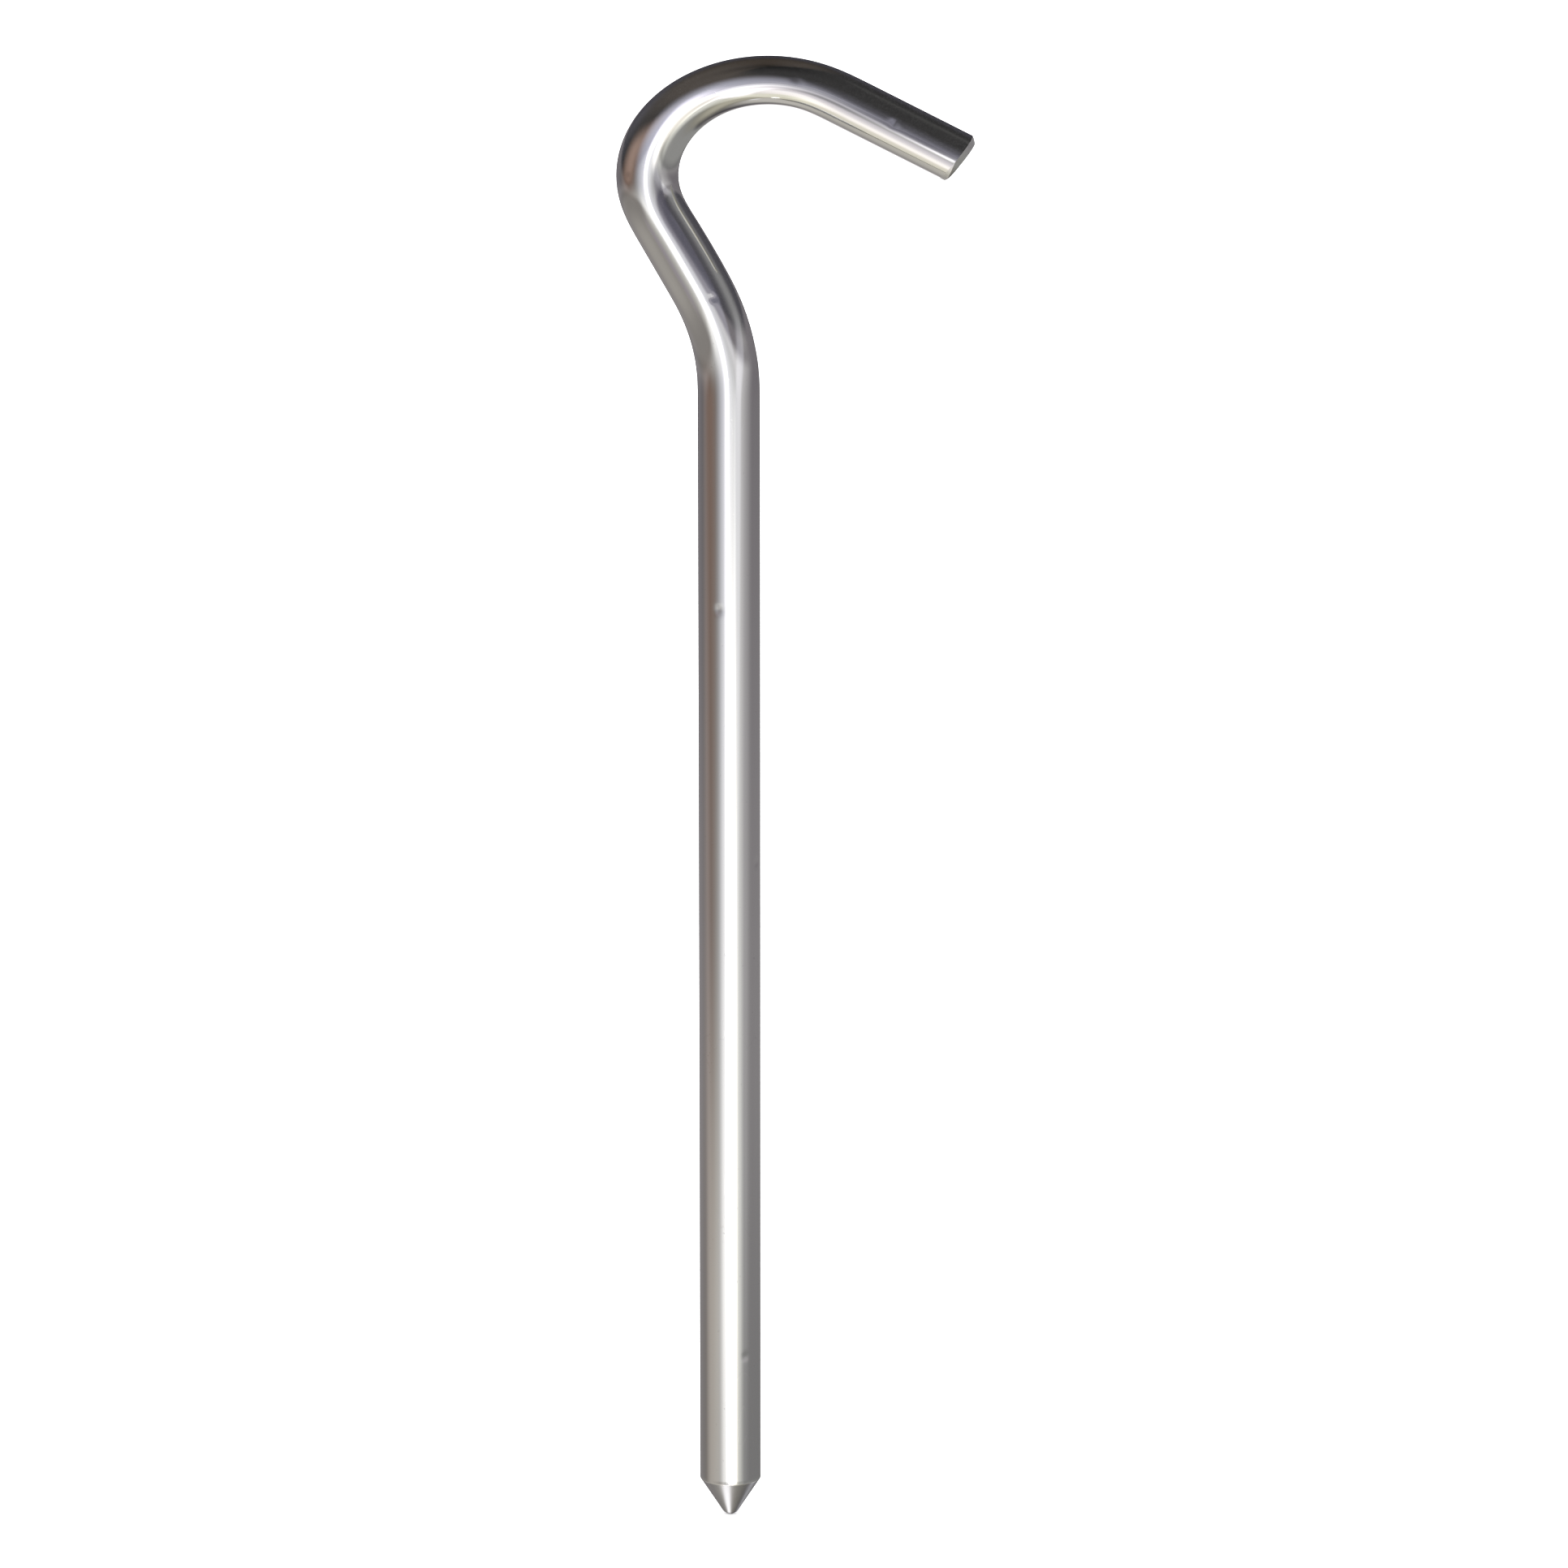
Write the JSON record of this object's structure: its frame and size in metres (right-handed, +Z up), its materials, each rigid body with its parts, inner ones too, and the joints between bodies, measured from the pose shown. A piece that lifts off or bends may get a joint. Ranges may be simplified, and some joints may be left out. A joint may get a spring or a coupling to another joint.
{
  "type": "tent stake",
  "caption": "Hook-top tent stake: a round aluminium rod with a straight pointed shank and a bent hook that holds a guy line.",
  "frame": {"origin": "on the shank's axis, where the straight shank ends and the first bend starts, which is level with the ground when the stake is driven in", "axes": "+Z up along the shank, from the point to the hook; the hook is bent in the XZ plane and its arm reaches towards +X; Y is across the rod"},
  "size_m": [0.0422, 0.0074, 0.1782],
  "materials": {
    "polished_rod": "polished bare aluminium, bright and mirror-like with faint drawing lines along the rod"
  },
  "bodies": {
    "root": {"stake": "polished_rod"}
  },
  "joints": []
}
